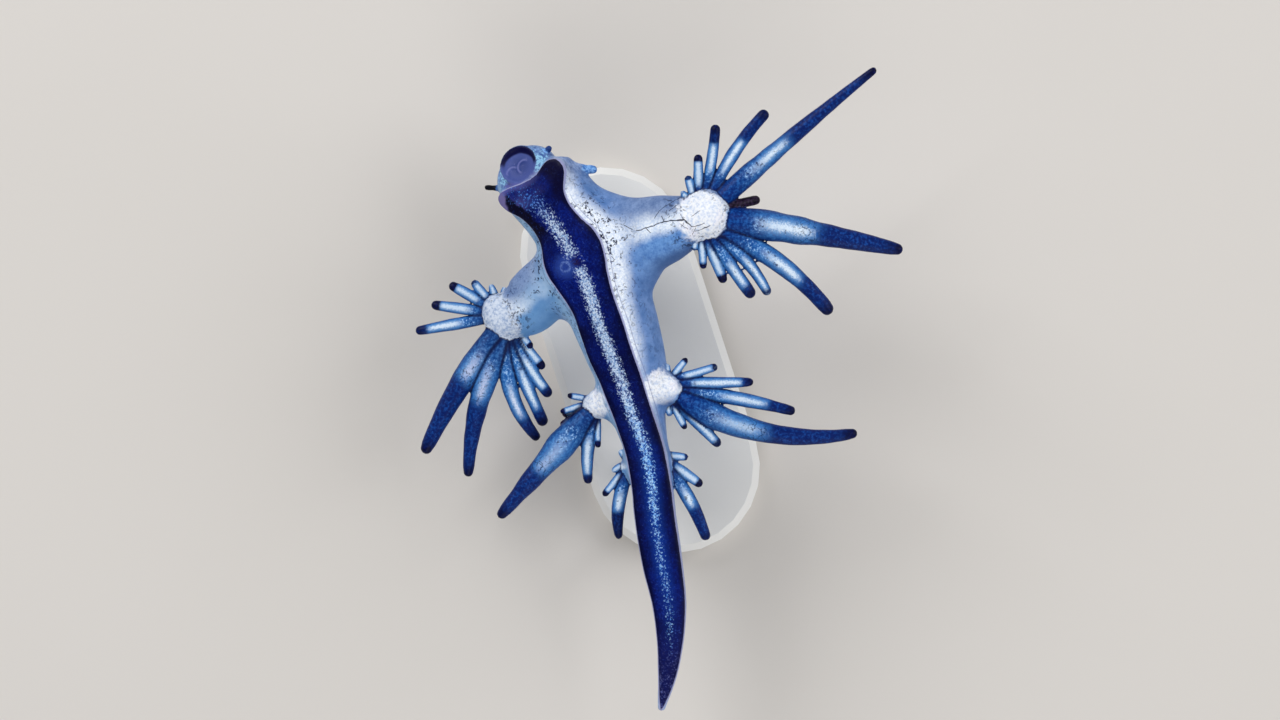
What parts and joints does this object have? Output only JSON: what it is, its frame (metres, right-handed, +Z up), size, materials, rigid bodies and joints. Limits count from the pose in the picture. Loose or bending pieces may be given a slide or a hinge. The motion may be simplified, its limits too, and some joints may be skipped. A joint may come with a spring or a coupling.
{
  "type": "blue dragon sea slug model",
  "caption": "Life-size still model of a blue dragon sea slug, foot side up with cerata spread, held on a plain display stand.",
  "frame": {"origin": "centre of the underside of the stand's base", "axes": "+Z up, +Y towards the head and along the longest extent, +X towards the flank that is turned up"},
  "size_m": [0.0337, 0.0443, 0.0143],
  "materials": {
    "body_skin": "gloss",
    "cerata_skin": "gloss",
    "stand_base": "satin",
    "stand_rod": "satin"
  },
  "bodies": {
    "root": {"arm_front_left": "body_skin", "arm_front_right": "body_skin", "arm_mid_left": "cerata_skin", "arm_mid_right": "cerata_skin", "arm_rear_left": "cerata_skin", "arm_rear_right": "cerata_skin", "body_front": "body_skin", "body_middle": "body_skin", "body_rear": "body_skin", "cerata_front_left_aft": "cerata_skin", "cerata_front_left_fore": "cerata_skin", "cerata_front_right_aft": "cerata_skin", "cerata_front_right_fore": "cerata_skin", "head": "body_skin", "neck": "body_skin", "oral_tentacle_left": "body_skin", "oral_tentacle_right": "body_skin", "rhinophore_left": "body_skin", "rhinophore_right": "body_skin", "stand_base": "stand_base", "stand_rod_front": "stand_rod", "stand_rod_rear": "stand_rod", "tail_front": "body_skin", "tail_middle": "body_skin", "tail_tip": "body_skin"}
  },
  "joints": []
}
